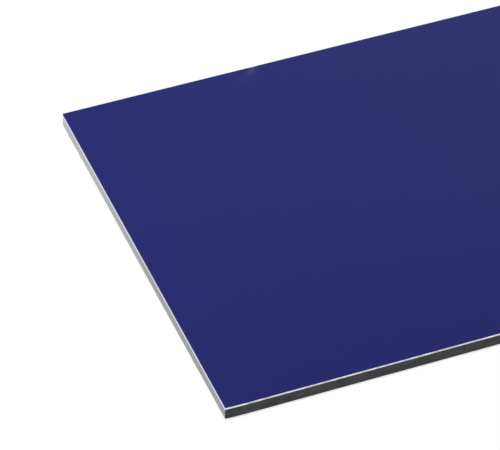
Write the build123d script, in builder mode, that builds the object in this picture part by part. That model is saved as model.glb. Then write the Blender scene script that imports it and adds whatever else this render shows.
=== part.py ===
from build123d import *
import os

os.makedirs("parts", exist_ok=True)

# A cut piece of aluminium composite panel, lying with its coated face up.
# Millimetres. X runs along the piece, Y across it and Z up.
# The origin is in the middle of the underside.

# Outline of the cut piece, and the radius that a file leaves on its four upright corners
panel_length = 300.0
panel_width = 110.0
corner_radius = 0.25

# Thickness of each layer of the sheet, from the underside up
back_skin_thickness = 0.5
core_thickness = 3.0
face_skin_thickness = 0.5

# How far the sharp arris of each skin is broken along its outer edges after the cut
back_arris = 0.05
face_arris = 0.05

# An arris break never takes more than this share of its own skin
largest_share_of_skin = 0.8

# Heights of the two bond lines, where a skin meets the core
back_bond_height = back_skin_thickness
face_bond_height = back_bond_height + core_thickness


# Back skin: plain aluminium sheet that the piece lies on, its lower arris broken
with BuildPart() as back_skin:
    with BuildSketch(Plane.XY):
        RectangleRounded(panel_length, panel_width, corner_radius)
    extrude(amount=back_skin_thickness)
    underside = back_skin.faces().sort_by(Axis.Z)[0]
    back_break = min(back_arris, largest_share_of_skin * back_skin_thickness)
    chamfer(underside.edges(), length=back_break)

back_skin.part.label = "back_skin"
export_step(back_skin.part, "parts/back_skin.step")


# Core: solid polyethylene, bonded over its whole area to both skins and cut flush with them
with BuildPart() as core:
    with BuildSketch(Plane.XY.offset(back_bond_height)):
        RectangleRounded(panel_length, panel_width, corner_radius)
    extrude(amount=core_thickness)

core.part.label = "core"
export_step(core.part, "parts/core.step")


# Face skin: the coil-coated aluminium sheet on top, its upper arris broken
with BuildPart() as face_skin:
    with BuildSketch(Plane.XY.offset(face_bond_height)):
        RectangleRounded(panel_length, panel_width, corner_radius)
    extrude(amount=face_skin_thickness)
    coated_face = face_skin.faces().sort_by(Axis.Z)[-1]
    face_break = min(face_arris, largest_share_of_skin * face_skin_thickness)
    chamfer(coated_face.edges(), length=face_break)

face_skin.part.label = "face_skin"
export_step(face_skin.part, "parts/face_skin.step")
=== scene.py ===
import bmesh
import bpy
import math
from mathutils import Matrix, Vector, noise


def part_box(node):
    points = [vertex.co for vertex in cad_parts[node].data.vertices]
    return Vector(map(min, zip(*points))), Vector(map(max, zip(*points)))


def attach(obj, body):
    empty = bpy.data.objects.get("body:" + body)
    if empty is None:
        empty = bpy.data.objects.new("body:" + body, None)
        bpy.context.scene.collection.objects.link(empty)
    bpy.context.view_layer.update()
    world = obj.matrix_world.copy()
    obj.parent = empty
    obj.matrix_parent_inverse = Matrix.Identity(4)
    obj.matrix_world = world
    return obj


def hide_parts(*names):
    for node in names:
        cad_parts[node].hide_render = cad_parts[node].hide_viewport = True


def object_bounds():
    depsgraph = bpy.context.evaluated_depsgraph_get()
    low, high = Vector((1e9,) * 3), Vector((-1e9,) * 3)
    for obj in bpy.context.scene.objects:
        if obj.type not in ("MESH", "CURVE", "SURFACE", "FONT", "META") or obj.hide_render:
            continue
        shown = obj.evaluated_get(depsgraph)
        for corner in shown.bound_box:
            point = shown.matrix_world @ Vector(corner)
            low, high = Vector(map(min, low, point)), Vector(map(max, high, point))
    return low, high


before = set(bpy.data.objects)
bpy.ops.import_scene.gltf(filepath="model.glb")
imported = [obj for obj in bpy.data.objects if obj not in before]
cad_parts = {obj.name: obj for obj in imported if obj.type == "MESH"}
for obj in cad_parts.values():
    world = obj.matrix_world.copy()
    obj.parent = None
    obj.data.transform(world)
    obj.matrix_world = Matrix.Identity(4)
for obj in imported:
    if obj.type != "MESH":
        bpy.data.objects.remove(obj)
cad_low, cad_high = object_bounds()
scene = bpy.context.scene


# The view. A long lens looks down on the panel from in front and from the left, with the near
# left corner low in the picture, so that the right-hand part of the piece runs out of it.
view_azimuth = math.radians(-22.75)
view_elevation = math.radians(42.67)
view_roll = math.radians(1.285)
view_distance = 0.9338
view_lens_mm = 279.2
view_sensor_mm = 36
view_aim_beside_corner = 0.02836
view_aim_behind_corner = 0.0556

view_aim = Vector((
    cad_low.x + view_aim_beside_corner,
    cad_low.y + view_aim_behind_corner,
    cad_high.z,
))
towards_camera = Vector((
    math.sin(view_azimuth) * math.cos(view_elevation),
    -math.cos(view_azimuth) * math.cos(view_elevation),
    math.sin(view_elevation),
))
level_right = Vector((0, 0, 1)).cross(towards_camera).normalized()
level_up = towards_camera.cross(level_right)
camera_right = level_right * math.cos(view_roll) + level_up * math.sin(view_roll)
camera_up = level_up * math.cos(view_roll) - level_right * math.sin(view_roll)

camera = bpy.data.objects.new("camera", bpy.data.cameras.new("camera"))
camera.data.lens = view_lens_mm
camera.data.sensor_width = view_sensor_mm
camera.matrix_world = Matrix.LocRotScale(
    view_aim + towards_camera * view_distance,
    Matrix((camera_right, camera_up, towards_camera)).transposed(),
    None,
)
scene.collection.objects.link(camera)
scene.camera = camera


# Back skin: rolled aluminium sheet half a millimetre thick, bonded under the core, with a thin
# clear service coat on its outer face. The long edges were sawn through all the layers in one
# pass and the ends were cut with a knife, and a file then took off the sharp lower arris.
skin_low, skin_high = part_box("back_skin")
corner_radius = 0.00025
corner_steps = 4
edge_step = 0.00025


def cut_outline(low, high):
    """Points round the piece, anticlockwise from above: place, outward direction and distance run."""
    inner_low = Vector((low.x + corner_radius, low.y + corner_radius))
    inner_high = Vector((high.x - corner_radius, high.y - corner_radius))
    centres = [
        Vector((inner_high.x, inner_low.y)),
        inner_high,
        Vector((inner_low.x, inner_high.y)),
        inner_low,
    ]
    points = []
    run = 0.0
    for side, centre in enumerate(centres):
        turned = side * math.pi / 2
        outward = Vector((round(math.sin(turned)), -round(math.cos(turned))))
        start = centres[side - 1] + outward * corner_radius
        end = centre + outward * corner_radius
        length = (end - start).length
        steps = round(length / edge_step)
        for i in range(steps):
            points.append((start.lerp(end, i / steps), outward, run + length * i / steps))
        run += length
        arc = corner_radius * math.pi / 2
        for i in range(corner_steps):
            share = i / corner_steps
            angle = turned - math.pi / 2 * (1 - share)
            direction = Vector((math.cos(angle), math.sin(angle)))
            points.append((centre + direction * corner_radius, direction, run + arc * share))
        run += arc
    return points


worn_corner = Vector((skin_low.x, skin_low.y))
worn_depth = 0.00018
worn_length = 0.0018


def worn(place):
    """A point of the cut, moved back a little near the left front corner, which is worn."""
    share = math.exp(-(place - worn_corner).length / worn_length)
    return place + Vector((0, worn_depth * share))


blade_radius = 0.150
blade_above_sheet = 0.010
blade_axle_height = cad_high.z + blade_above_sheet - blade_radius
mark_pitch = 0.0024
mark_wander = 0.0009
wander_length = 0.011
wander_seed = 3.1
ripple_pitch = 0.0009
ripple_share = 0.25
strength_mean = 0.6
strength_swing = 0.4
strength_length = 0.020
strength_seed = 7.7


def saw_mark(outward, run, height):
    """How deep the blade's arc-shaped marks are, from 0 to 1. There are none on the ends."""
    along = run - math.sqrt(blade_radius ** 2 - (height - blade_axle_height) ** 2)
    along += mark_wander * noise.noise(Vector((along / wander_length, wander_seed, 0)))
    ridge = 0.5 - 0.5 * math.cos(math.tau * along / mark_pitch)
    ripple = 0.5 - 0.5 * math.cos(math.tau * along / ripple_pitch)
    swing = noise.noise(Vector((along / strength_length, strength_seed, 0)))
    strength = strength_mean + strength_swing * swing
    mark = strength * ((1 - ripple_share) * ridge + ripple_share * ripple)
    return abs(outward.y) * max(0.0, min(1.0, mark))


band_thinning = 4
fan_points = 60


def close_side(work, loop, slot):
    """Close a flat side with bands of triangles, each wider and coarser than the last, and a fan."""
    half_length = cad_high.x
    half_width = cad_high.y
    band = edge_step * band_thinning
    while len(loop) > fan_points:
        shrink = Vector((1 - band / half_length, 1 - band / half_width, 1))
        inner = [work.verts.new(vert.co * shrink) for vert in loop[::band_thinning]]
        joined = loop + loop[:1]
        for i, tip in enumerate(inner):
            next_tip = inner[(i + 1) % len(inner)]
            outer = joined[i * band_thinning:(i + 1) * band_thinning + 1]
            half = len(outer) // 2
            for vert, after in zip(outer[:half], outer[1:half + 1]):
                work.faces.new((vert, after, tip)).material_index = slot
            for vert, after in zip(outer[half:], outer[half + 1:]):
                work.faces.new((vert, after, next_tip)).material_index = slot
            work.faces.new((outer[half], next_tip, tip)).material_index = slot
        half_length -= band
        half_width -= band
        band *= band_thinning
        loop = inner
    middle = work.verts.new((0, 0, loop[0].co.z))
    for vert, after in zip(loop, loop[1:] + loop[:1]):
        work.faces.new((vert, after, middle)).material_index = slot


sharp_from_angle = math.radians(38)


def layer_mesh(name, outline, rings, cut_depth, finishes):
    """A closed layer of the sheet. Each ring gives inset and height, and the finish above it."""
    mesh = bpy.data.meshes.new(name)
    work = bmesh.new()
    loops = []
    for ring, finish_slot in rings:
        loop = []
        for place, outward, run in outline:
            inset, height = ring(place, outward, run)
            here = worn(place - outward * (inset + cut_depth(place, outward, run, height)))
            loop.append(work.verts.new((here.x, here.y, height)))
        loops.append(loop)
    for lower, upper, (ring, finish_slot) in zip(loops, loops[1:], rings):
        for i, (place, outward, run) in enumerate(outline):
            after = (i + 1) % len(outline)
            face = work.faces.new((lower[i], lower[after], upper[after], upper[i]))
            face.material_index = finish_slot(place, outward)
    middle = Vector((0, 0))
    under_slot = rings[0][1]
    top_slot = rings[-1][1]
    close_side(work, loops[0][::-1], under_slot(middle, middle))
    close_side(work, loops[-1], top_slot(middle, middle))
    for face in work.faces:
        face.smooth = True
    work.to_mesh(mesh)
    work.free()
    mesh.set_sharp_from_angle(angle=sharp_from_angle)
    for finish in finishes:
        mesh.materials.append(finish)
    piece = bpy.data.objects.new(name, mesh)
    scene.collection.objects.link(piece)
    return piece


def new_finish(name):
    """A new material, with its nodes, links and shader, and each point's place on the piece."""
    finish = bpy.data.materials.new(name)
    finish.use_nodes = True
    nodes = finish.node_tree.nodes
    place = nodes.new("ShaderNodeTexCoord").outputs["Object"]
    return finish, nodes, finish.node_tree.links, nodes["Principled BSDF"], place


def drawn_out(nodes, links, place, scale):
    """The same place with one or more directions shrunk, which draws a pattern out along them."""
    mapping = nodes.new("ShaderNodeMapping")
    mapping.inputs["Scale"].default_value = scale
    links.new(place, mapping.inputs["Vector"])
    return mapping.outputs["Vector"]


mottle_low = 0.3
mottle_middle = 0.5
mottle_high = 0.7


def mottle(nodes, links, place, size, detail=2.0):
    """A soft random pattern of patches of one size, which seldom leaves the range named above."""
    texture = nodes.new("ShaderNodeTexNoise")
    texture.inputs["Scale"].default_value = 1 / size
    texture.inputs["Detail"].default_value = detail
    links.new(place, texture.inputs["Vector"])
    return texture.outputs["Fac"]


def ramp(nodes, links, value, start, end, low=0.0, high=1.0):
    """Low until the value reaches the start, high once it reaches the end, and even between."""
    spread = nodes.new("ShaderNodeMapRange")
    spread.inputs["From Min"].default_value = start
    spread.inputs["From Max"].default_value = end
    spread.inputs["To Min"].default_value = low
    spread.inputs["To Max"].default_value = high
    links.new(value, spread.inputs["Value"])
    return spread.outputs["Result"]


def between(nodes, links, value, low, high):
    """The mottle's range spread over another one."""
    return ramp(nodes, links, value, mottle_low, mottle_high, low, high)


def two_tone(nodes, links, value, one, other):
    """One colour where the mottle is low, another where it is high, and even between."""
    mix = nodes.new("ShaderNodeMix")
    mix.data_type = "RGBA"
    mix.inputs["A"].default_value = (*one, 1)
    mix.inputs["B"].default_value = (*other, 1)
    links.new(between(nodes, links, value, 0.0, 1.0), mix.inputs["Factor"])
    return mix.outputs["Result"]


def relief(nodes, links, shader, height, depth):
    """Fine bumps on the surface, as deep as the depth where the height goes from 0 to 1."""
    bump = nodes.new("ShaderNodeBump")
    bump.inputs["Strength"].default_value = 1.0
    bump.inputs["Distance"].default_value = depth
    links.new(height, bump.inputs["Height"])
    links.new(bump.outputs["Normal"], shader.inputs["Normal"])


def service_coat():
    """Satin rolled sheet under a thin clear coat, its grain drawn out along the piece."""
    finish, nodes, links, shader, place = new_finish("service_coat_over_aluminium")
    along_piece = drawn_out(nodes, links, place, scale=(0.02, 1, 1))
    grain = mottle(nodes, links, along_piece, size=0.0004, detail=3.0)
    cloud = mottle(nodes, links, place, size=0.035)
    tone = two_tone(nodes, links, cloud, one=(0.62, 0.63, 0.63), other=(0.66, 0.67, 0.67))
    shader.inputs["Metallic"].default_value = 0.75
    links.new(tone, shader.inputs["Base Color"])
    links.new(between(nodes, links, grain, low=0.36, high=0.5), shader.inputs["Roughness"])
    relief(nodes, links, shader, grain, depth=0.000004)
    return finish


def cut_aluminium(name, smeared, clean):
    """Bare cut metal, a little smeared, with fine scratches that run up the cut."""
    finish, nodes, links, shader, place = new_finish(name)
    up_the_cut = drawn_out(nodes, links, place, scale=(1, 1, 0.3))
    scratch = mottle(nodes, links, up_the_cut, size=0.00018, detail=3.0)
    smear = mottle(nodes, links, place, size=0.0016, detail=3.0)
    tone = two_tone(nodes, links, smear, one=smeared, other=clean)
    shader.inputs["Metallic"].default_value = 1.0
    links.new(tone, shader.inputs["Base Color"])
    links.new(between(nodes, links, scratch, low=0.32, high=0.46), shader.inputs["Roughness"])
    relief(nodes, links, shader, scratch, depth=0.000006)
    return finish


back_arris = 0.00005
arris_round = 0.3
arris_unevenness = 0.3
file_stroke = 0.004
file_seed = 1.7
skin_cut_depth = 0.000010
face_margin = 0.00005
back_ring_heights = [0.00015, 0.00025, 0.00035]
sawn_slot = 0
knife_cut_slot = 1
coat_slot = 2


def uneven_width(width, run):
    """The width of an arris that varies along the piece."""
    return width * (1 + arris_unevenness * noise.noise(Vector((run / file_stroke, file_seed, 0))))


def skin_cut(place, outward, run, height):
    return skin_cut_depth * saw_mark(outward, run, height)


def level(height):
    """A ring that is flush with the cut all round."""
    return lambda place, outward, run: (0.0, height)


def back_margin(place, outward, run):
    return uneven_width(back_arris, run) + face_margin, skin_low.z


def back_arris_flat(place, outward, run):
    return uneven_width(back_arris, run), skin_low.z


def back_arris_middle(place, outward, run):
    return arris_round * uneven_width(back_arris, run), skin_low.z + arris_round * back_arris


def sawn_or_knife_cut(place, outward):
    return knife_cut_slot if abs(outward.x) > abs(outward.y) else sawn_slot


def coated(place, outward):
    return coat_slot


outline = cut_outline(skin_low, skin_high)
back_rings = [
    (back_margin, coated),
    (back_arris_flat, sawn_or_knife_cut),
    (back_arris_middle, sawn_or_knife_cut),
    (level(skin_low.z + back_arris), sawn_or_knife_cut),
]
back_rings += [(level(skin_low.z + height), sawn_or_knife_cut) for height in back_ring_heights]
back_rings.append((level(skin_high.z), sawn_or_knife_cut))
# The back skin's sawn metal is painted paler than the face skin's, though both are the same sheet cut
# in one pass: a painted reflection of the white table along the lower edge.
sawn_back_painted_paler = cut_aluminium("sawn_back_skin_painted_paler", smeared=(0.76, 0.77, 0.79), clean=(0.88, 0.89, 0.90))
knife_cut = cut_aluminium("knife_cut_skins", smeared=(0.86, 0.87, 0.88), clean=(0.92, 0.93, 0.93))
back_finishes = [sawn_back_painted_paler, knife_cut, service_coat()]
back_sheet = layer_mesh("back_sheet", outline, back_rings, skin_cut, back_finishes)
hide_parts("back_skin")
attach(back_sheet, "root")


# Core: three millimetres of solid black polyethylene between the skins, sprung back a hair
# behind them once it was cut. Its long edges are torn and matt from the saw. Its ends are flat
# and glossy from the knife, which has smeared a film of the upper skin's metal down over them.
core_low, core_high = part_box("core")
core_spring_back = 0.00002
core_cut_depth = 0.00003
torn_depth = 0.000012
torn_length = 0.0012
torn_height = 0.0005
core_ring_step = 0.00025


def core_cut(place, outward, run, height):
    spot = Vector((place.x / torn_length, place.y / torn_length, height / torn_height))
    torn = 0.5 + 0.5 * noise.noise(spot)
    marked = core_cut_depth * saw_mark(outward, run, height)
    return core_spring_back + marked + torn_depth * torn * abs(outward.y)


def dragged_plastic(nodes, links, place):
    """The streaks that a blade drags into the black plastic, and its colour, paler in them."""
    along_cut = drawn_out(nodes, links, place, scale=(0.4, 0.4, 1))
    drag = mottle(nodes, links, along_cut, size=0.0014, detail=4.0)
    tone = two_tone(nodes, links, drag, one=(0.007, 0.007, 0.009), other=(0.068, 0.068, 0.077))
    return drag, tone


def sawn_polyethylene():
    finish, nodes, links, shader, place = new_finish("sawn_polyethylene")
    drag, tone = dragged_plastic(nodes, links, place)
    links.new(tone, shader.inputs["Base Color"])
    links.new(between(nodes, links, drag, low=0.5, high=0.6), shader.inputs["Roughness"])
    shader.inputs["IOR"].default_value = 1.40
    relief(nodes, links, shader, drag, depth=0.00001)
    return finish


gloss_grows_from = -0.010
gloss_grows_to = 0.035
gloss_front = 0.5
gloss_rear = 1.0
smear_colour = (0.66, 0.67, 0.69)
smear_reach = 0.0004
smear_raggedness = 0.0002
smear_fade = 0.00005


def painted_over(nodes, links, under, colour, share):
    """A colour laid over another one, by a share from 0 to 1."""
    mix = nodes.new("ShaderNodeMix")
    mix.data_type = "RGBA"
    mix.inputs["B"].default_value = (*colour, 1)
    links.new(under, mix.inputs["A"])
    links.new(share, mix.inputs["Factor"])
    return mix.outputs["Result"]


def smeared_metal(nodes, links, height, drag):
    """1 in the ragged film of metal below the upper skin, and 0 on the plastic below it."""
    ragged = nodes.new("ShaderNodeMath")
    ragged.operation = "MULTIPLY_ADD"
    ragged.inputs[1].default_value = smear_raggedness
    links.new(drag, ragged.inputs[0])
    links.new(height, ragged.inputs[2])
    foot = core_high.z - smear_reach + mottle_middle * smear_raggedness
    return ramp(nodes, links, ragged.outputs["Value"], start=foot, end=foot + smear_fade)


def knife_cut_polyethylene():
    """Plastic that the knife has left glossy, more so towards the rear, under a smear of metal."""
    finish, nodes, links, shader, place = new_finish("knife_cut_polyethylene")
    drag, tone = dragged_plastic(nodes, links, place)
    parts = nodes.new("ShaderNodeSeparateXYZ")
    links.new(place, parts.inputs["Vector"])
    across = parts.outputs["Y"]
    metal = smeared_metal(nodes, links, parts.outputs["Z"], drag)
    gloss = ramp(nodes, links, across, gloss_grows_from, gloss_grows_to, gloss_front, gloss_rear)
    links.new(painted_over(nodes, links, tone, smear_colour, metal), shader.inputs["Base Color"])
    links.new(metal, shader.inputs["Metallic"])
    links.new(between(nodes, links, drag, low=0.12, high=0.2), shader.inputs["Roughness"])
    shader.inputs["IOR"].default_value = 1.5
    links.new(gloss, shader.inputs["Coat Weight"])
    shader.inputs["Coat Roughness"].default_value = 0.1
    relief(nodes, links, shader, drag, depth=0.000003)
    return finish


core_rings = []
core_ring_count = round((core_high.z - core_low.z) / core_ring_step)
for i in range(core_ring_count + 1):
    ring_height = core_low.z + (core_high.z - core_low.z) * i / core_ring_count
    core_rings.append((level(ring_height), sawn_or_knife_cut))
core_finishes = [sawn_polyethylene(), knife_cut_polyethylene()]
core_slab = layer_mesh("core_slab", outline, core_rings, core_cut, core_finishes)
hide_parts("core")
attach(core_slab, "root")


# Face skin: the upper aluminium sheet, coil-coated deep blue before the layers were bonded. The
# saw took the coat off the upper arris of the long edges, and the knife dragged it down over that
# of the ends. A knock on the rear arris bared a millimetre of metal and left a pale scuff by it.
face_low, face_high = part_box("face_skin")
face_ring_heights = [0.00015, 0.00025]
sawn_arris = 0.00005
knife_arris_width = 0.00012
knife_arris_depth = 0.00020
knock_from_left_end = 0.0508
knock_x = face_low.x + knock_from_left_end
knock_half_length = 0.0006
knock_width = 0.00012
knock_depth = 0.00008
knock_bares_metal = 0.3


def saw_or_knife(outward, sawn, knifed):
    """A size on the long edges, another on the ends, and what lies between them round the corners."""
    return sawn + (knifed - sawn) * abs(outward.x)


def knock(place):
    """How far the knock reaches at a point of the outline, from 0 to 1."""
    if place.y < 0:
        return 0.0
    return math.exp(-((place.x - knock_x) / knock_half_length) ** 2)


def arris_width(place, outward, run):
    width = saw_or_knife(outward, sawn_arris, knife_arris_width)
    return uneven_width(width, run) + knock_width * knock(place)


def arris_depth(place, outward):
    return saw_or_knife(outward, sawn_arris, knife_arris_depth) + knock_depth * knock(place)


def arris_foot(place, outward, run):
    return 0.0, face_high.z - arris_depth(place, outward)


def arris_middle(place, outward, run):
    inset = arris_round * arris_width(place, outward, run)
    return inset, face_high.z - arris_round * arris_depth(place, outward)


def arris_top(place, outward, run):
    return arris_width(place, outward, run), face_high.z


def coat_margin(place, outward, run):
    return arris_width(place, outward, run) + face_margin, face_high.z


def coat_behind_knife(place, outward):
    """Coat on the ends, where the knife dragged it down, and sawn metal on the long edges."""
    return coat_slot if sawn_or_knife_cut(place, outward) == knife_cut_slot else sawn_slot


def coat_but_for_knock(place, outward):
    return sawn_slot if knock(place) > knock_bares_metal else coat_slot


scuff_colour = (0.034, 0.026, 0.198)
scuff_from_edge = 0.0013
scuff_beside_knock = -0.0006
scuff_spot = Vector((knock_x + scuff_beside_knock, face_high.y - scuff_from_edge, face_high.z))
scuff_spot_size = (0.0034, 0.0017)
scuff_heading = math.radians(38)
scuff_tail_size = (0.0052, 0.0042)
scuff_tail_behind = 0.0039
scuff_tail_share = 0.2


def soft_oval(nodes, links, place, centre, heading, size):
    """An oval patch on the sheet, 1 in its middle, that fades to 0 at its edge."""
    mapping = nodes.new("ShaderNodeMapping")
    mapping.vector_type = "TEXTURE"
    mapping.inputs["Location"].default_value = centre
    mapping.inputs["Rotation"].default_value = (0, 0, heading)
    mapping.inputs["Scale"].default_value = (*size, 1)
    links.new(place, mapping.inputs["Vector"])
    distance = nodes.new("ShaderNodeVectorMath")
    distance.operation = "LENGTH"
    links.new(mapping.outputs["Vector"], distance.inputs[0])
    fade = nodes.new("ShaderNodeMapRange")
    fade.interpolation_type = "SMOOTHSTEP"
    fade.inputs["To Min"].default_value = 1.0
    fade.inputs["To Max"].default_value = 0.0
    links.new(distance.outputs["Value"], fade.inputs["Value"])
    return fade.outputs["Result"]


def scuff(nodes, links, place):
    """How far the knock has dulled the coat: most at one spot, with a faint tail behind it."""
    spot = soft_oval(nodes, links, place, scuff_spot, scuff_heading, scuff_spot_size)
    behind = Vector((math.cos(scuff_heading), math.sin(scuff_heading), 0)) * scuff_tail_behind
    tail = soft_oval(nodes, links, place, scuff_spot - behind, scuff_heading, scuff_tail_size)
    whole = nodes.new("ShaderNodeMath")
    whole.operation = "MULTIPLY_ADD"
    whole.use_clamp = True
    whole.inputs[1].default_value = scuff_tail_share
    links.new(tail, whole.inputs[0])
    links.new(spot, whole.inputs[2])
    return whole.outputs["Value"]


def blue_coat():
    """Satin coil coat with a fine orange peel, and the pale scuff at the knock."""
    finish, nodes, links, shader, place = new_finish("blue_coil_coat")
    cloud = mottle(nodes, links, place, size=0.06)
    peel = mottle(nodes, links, place, size=0.0011)
    clean = two_tone(nodes, links, cloud, one=(0.0032, 0.0075, 0.142), other=(0.0034, 0.0077, 0.144))
    scuffed = painted_over(nodes, links, clean, scuff_colour, scuff(nodes, links, place))
    links.new(scuffed, shader.inputs["Base Color"])
    links.new(between(nodes, links, peel, low=0.28, high=0.33), shader.inputs["Roughness"])
    shader.inputs["IOR"].default_value = 1.33
    relief(nodes, links, shader, peel, depth=0.0000015)
    return finish


face_rings = [(level(face_low.z), sawn_or_knife_cut)]
face_rings += [(level(face_low.z + height), sawn_or_knife_cut) for height in face_ring_heights]
face_rings += [
    (arris_foot, coat_behind_knife),
    (arris_middle, coat_but_for_knock),
    (arris_top, coated),
    (coat_margin, coated),
]
sawn_face = cut_aluminium("sawn_face_skin", smeared=(0.52, 0.53, 0.56), clean=(0.91, 0.92, 0.94))
face_finishes = [sawn_face, knife_cut, blue_coat()]
coated_sheet = layer_mesh("coated_sheet", outline, face_rings, skin_cut, face_finishes)
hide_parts("face_skin")
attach(coated_sheet, "root")


# Table: a wide white sheet that the panel lies on. The camera sees it as plain white, and so do
# the reflections in the metal and in the glossy plastic, with only a trace of the panel's shadow.
table_half_width = 12.0
table_white = 0.8
table_seen_white = 0.98
table_seen_lit = 0.03

table_mesh = bpy.data.meshes.new("table")
table_corners = [(-1, -1), (1, -1), (1, 1), (-1, 1)]
table_points = [(x * table_half_width, y * table_half_width, cad_low.z) for x, y in table_corners]
table_mesh.from_pydata(table_points, [], [(0, 1, 2, 3)])
table = bpy.data.objects.new("table", table_mesh)
scene.collection.objects.link(table)

table_material = bpy.data.materials.new("white_table")
table_material.use_nodes = True
nodes = table_material.node_tree.nodes
links = table_material.node_tree.links
nodes.clear()
path = nodes.new("ShaderNodeLightPath")
seen = path.outputs["Is Camera Ray"]
for ray in ("Is Glossy Ray", "Is Transmission Ray"):
    either = nodes.new("ShaderNodeMath")
    either.operation = "MAXIMUM"
    links.new(seen, either.inputs[0])
    links.new(path.outputs[ray], either.inputs[1])
    seen = either.outputs["Value"]
plain = nodes.new("ShaderNodeBsdfDiffuse")
plain.inputs["Color"].default_value = (table_white, table_white, table_white, 1)
glow = nodes.new("ShaderNodeEmission")
glow.inputs["Color"].default_value = (table_seen_white, table_seen_white, table_seen_white, 1)
glow.inputs["Strength"].default_value = 1.0
shadowed = nodes.new("ShaderNodeBsdfDiffuse")
shadowed.inputs["Color"].default_value = (table_seen_lit, table_seen_lit, table_seen_lit, 1)
seen_white = nodes.new("ShaderNodeAddShader")
links.new(glow.outputs["Emission"], seen_white.inputs[0])
links.new(shadowed.outputs["BSDF"], seen_white.inputs[1])
choice = nodes.new("ShaderNodeMixShader")
links.new(seen, choice.inputs["Fac"])
links.new(plain.outputs["BSDF"], choice.inputs[1])
links.new(seen_white.outputs["Shader"], choice.inputs[2])
surface = nodes.new("ShaderNodeOutputMaterial").inputs["Surface"]
links.new(choice.outputs["Shader"], surface)
table_mesh.materials.append(table_material)


# Light: a dim even room and a large soft box that hangs level to the left of the panel, a little
# behind it. A weaker box on the right keeps that end from going dark, and a small faint one far
# behind gives the coat its slight sheen towards the rear.
room_strength = 0.42

room = bpy.data.worlds.new("room")
room.use_nodes = True
room.node_tree.nodes["Background"].inputs["Color"].default_value = (1, 1, 1, 1)
room.node_tree.nodes["Background"].inputs["Strength"].default_value = room_strength
scene.world = room


def soft_lamp(name, place, width, depth, power):
    """A soft box that hangs level, facing down."""
    data = bpy.data.lights.new(name, "AREA")
    data.shape = "RECTANGLE"
    data.size = width
    data.size_y = depth
    data.energy = power
    lamp = bpy.data.objects.new(name, data)
    lamp.location = place
    scene.collection.objects.link(lamp)
    return lamp


def turn_to_panel(lamp):
    """Tilt the lamp so that it faces the middle of the panel."""
    lamp.rotation_euler = lamp.location.to_track_quat("Z", "Y").to_euler()


soft_lamp("left_soft_box", place=(-0.50, 0.30, 0.45), width=0.8, depth=0.8, power=3.65)
turn_to_panel(soft_lamp("right_soft_box", place=(0.50, 0.00, 0.45), width=0.6, depth=0.6, power=0.8))
turn_to_panel(soft_lamp("rear_card", place=(0.28, 0.68, 0.50), width=0.4, depth=0.3, power=0.23))

scene.view_settings.view_transform = "Standard"
